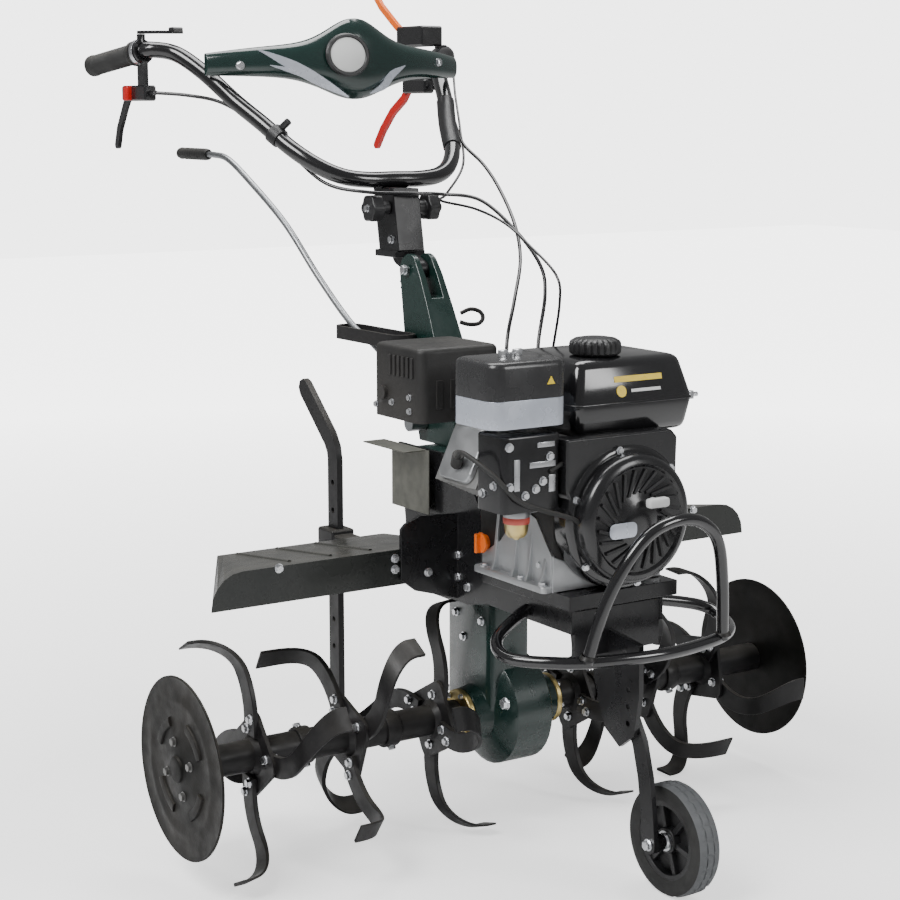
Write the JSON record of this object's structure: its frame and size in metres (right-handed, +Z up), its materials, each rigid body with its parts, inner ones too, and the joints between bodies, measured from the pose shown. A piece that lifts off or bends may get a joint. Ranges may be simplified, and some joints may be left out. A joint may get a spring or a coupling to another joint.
{
  "type": "tiller",
  "caption": "Walk-behind petrol tiller with a gear-driven tine rotor, side discs, fenders, front wheel, bumper, depth stake and an adjustable handlebar with controls.",
  "frame": {"origin": "on the ground straight below the middle of the rotor axle", "axes": "+Z up; -Y is the way the machine travels, so the front wheel is at -Y and the handlebar at +Y; +X is the operator's left"},
  "size_m": [1.12, 1.3183, 1.3458],
  "materials": {
    "black_paint": "semi-gloss black enamel",
    "dark_green_paint": "semi-gloss dark green enamel on cast iron",
    "dark_green_plastic": "moulded, glossy",
    "bare_alloy": "die cast, bare",
    "plated_steel": "yellow passivated",
    "grey_steel": "bare or zinc plated",
    "black_plastic": "moulded, fine grain",
    "rubber": "moulded rubber",
    "red_plastic": "moulded",
    "orange_plastic": "moulded",
    "silver_plastic": "silver band",
    "white_plastic": "moulded"
  },
  "bodies": {
    "chassis": {"gear_case": "dark_green_paint", "clutch_housing": "dark_green_paint", "frame_plate_right": "black_paint", "frame_plate_left": "black_paint", "engine_bed": "black_paint", "fender_right": "black_paint", "fender_left": "black_paint", "bumper": "black_paint", "axle_flange_right": "plated_steel", "axle_flange_left": "plated_steel", "wheel_bracket": "black_paint", "hitch_arm": "black_paint", "column_arm": "dark_green_paint", "height_sector": "black_paint", "gear_gate": "black_paint", "crankcase": "bare_alloy", "cylinder": "bare_alloy", "cylinder_cowl": "black_plastic", "fan_housing": "black_paint", "recoil_cover": "black_paint", "carburettor": "plated_steel", "air_cleaner_base": "silver_plastic", "air_cleaner_cover": "black_plastic", "muffler": "black_paint", "fuel_tank": "black_paint"},
    "handlebar": {"column": "black_paint", "handlebar": "black_paint", "grip_right": "rubber", "grip_left": "rubber", "console": "dark_green_plastic", "right_control_mount": "black_plastic", "left_control_mount": "black_plastic", "throttle_cable": "black_plastic", "clutch_cable": "black_plastic", "stop_cable": "black_plastic"},
    "rotor": {"output_shaft": "grey_steel", "hub_right": "black_paint", "hub_left": "black_paint", "disc_right": "black_paint", "disc_left": "black_paint", "tine_set_right_outer": "black_paint", "tine_set_right_middle": "black_paint", "tine_set_right_inner": "black_paint", "tine_set_left_inner": "black_paint", "tine_set_left_middle": "black_paint", "tine_set_left_outer": "black_paint"},
    "clutch_lever": {"clutch_lever": "black_plastic"},
    "reverse_lever": {"reverse_lever": "red_plastic"},
    "safety_lever": {"safety_lever": "orange_plastic"},
    "throttle_lever": {"throttle_lever": "black_plastic"},
    "gear_lever": {"gear_lever": "grey_steel", "gear_knob": "rubber"},
    "star_knob_right": {"star_knob_right": "black_plastic"},
    "star_knob_left": {"star_knob_left": "black_plastic"},
    "depth_stake": {"depth_stake": "black_paint"},
    "wheel_arm": {"wheel_arm": "black_paint"},
    "front_wheel": {"front_wheel": "rubber"},
    "pull_handle": {"pull_handle": "white_plastic"},
    "fuel_cap": {"fuel_cap": "black_plastic"},
    "oil_cap": {"oil_cap": "orange_plastic"}
  },
  "joints": [
    {"name": "rotor_spin", "type": "hinge", "parent": "chassis", "child": "rotor", "pos_m": [0.02, 0, 0.183], "axis": [1, 0, 0], "continuous": true},
    {"name": "wheel_arm_fold", "type": "hinge", "parent": "chassis", "child": "wheel_arm", "pos_m": [-0.0034, -0.322, 0.305], "axis": [1, 0, 0], "range_deg": [-65, 0]},
    {"name": "wheel_spin", "type": "hinge", "parent": "wheel_arm", "child": "front_wheel", "pos_m": [0.04, -0.405, 0.083], "axis": [1, 0, 0], "continuous": true},
    {"name": "handlebar_tilt", "type": "hinge", "parent": "chassis", "child": "handlebar", "pos_m": [0, 0.218, 0.868], "axis": [1, 0, 0], "range_deg": [-12, 5]},
    {"name": "gear_shift", "type": "hinge", "parent": "chassis", "child": "gear_lever", "pos_m": [-0.055, 0.15, 0.628], "axis": [1, 0, 0], "range_deg": [-2, 6]},
    {"name": "clutch_squeeze", "type": "hinge", "parent": "handlebar", "child": "clutch_lever", "pos_m": [-0.302, 0.664, 1.152], "axis": [1, 0, 0], "range_deg": [0, 35], "stiffness_Nm_per_rad": 2, "springref_deg": -14.32},
    {"name": "reverse_squeeze", "type": "hinge", "parent": "handlebar", "child": "reverse_lever", "pos_m": [0.262, 0.664, 1.166], "axis": [1, 0, 0], "range_deg": [0, 30], "stiffness_Nm_per_rad": 2, "springref_deg": -14.32},
    {"name": "safety_press", "type": "hinge", "parent": "handlebar", "child": "safety_lever", "pos_m": [0.264, 0.686, 1.262], "axis": [1, 0, 0], "range_deg": [-30, 0], "stiffness_Nm_per_rad": 1, "springref_deg": 17.19},
    {"name": "throttle_turn", "type": "hinge", "parent": "handlebar", "child": "throttle_lever", "pos_m": [-0.302, 0.615, 1.25], "axis": [0, 0, 1], "range_deg": [-55, 0]},
    {"name": "knob_turn_right", "type": "hinge", "parent": "handlebar", "child": "star_knob_right", "pos_m": [-0.0543, 0.272, 0.966], "axis": [1, 0, 0], "continuous": true},
    {"name": "knob_turn_left", "type": "hinge", "parent": "handlebar", "child": "star_knob_left", "pos_m": [0.0543, 0.272, 0.966], "axis": [1, 0, 0], "continuous": true},
    {"name": "stake_slide", "type": "slide", "parent": "chassis", "child": "depth_stake", "axis": [0, 0, 1], "range_m": [-0.08, 0.15]},
    {"name": "starter_pull", "type": "slide", "parent": "chassis", "child": "pull_handle", "axis": [0, -1, 0], "range_m": [0, 0.2], "stiffness_N_per_m": 30, "springref_m": -0.1},
    {"name": "fuel_cap_turn", "type": "hinge", "parent": "chassis", "child": "fuel_cap", "pos_m": [0.004, -0.25, 0.7753], "axis": [0, 0, 1], "range_deg": [0, 90]},
    {"name": "oil_cap_turn", "type": "hinge", "parent": "chassis", "child": "oil_cap", "pos_m": [-0.1053, -0.132, 0.49], "axis": [-1, 0, 0], "range_deg": [0, 720]}
  ]
}
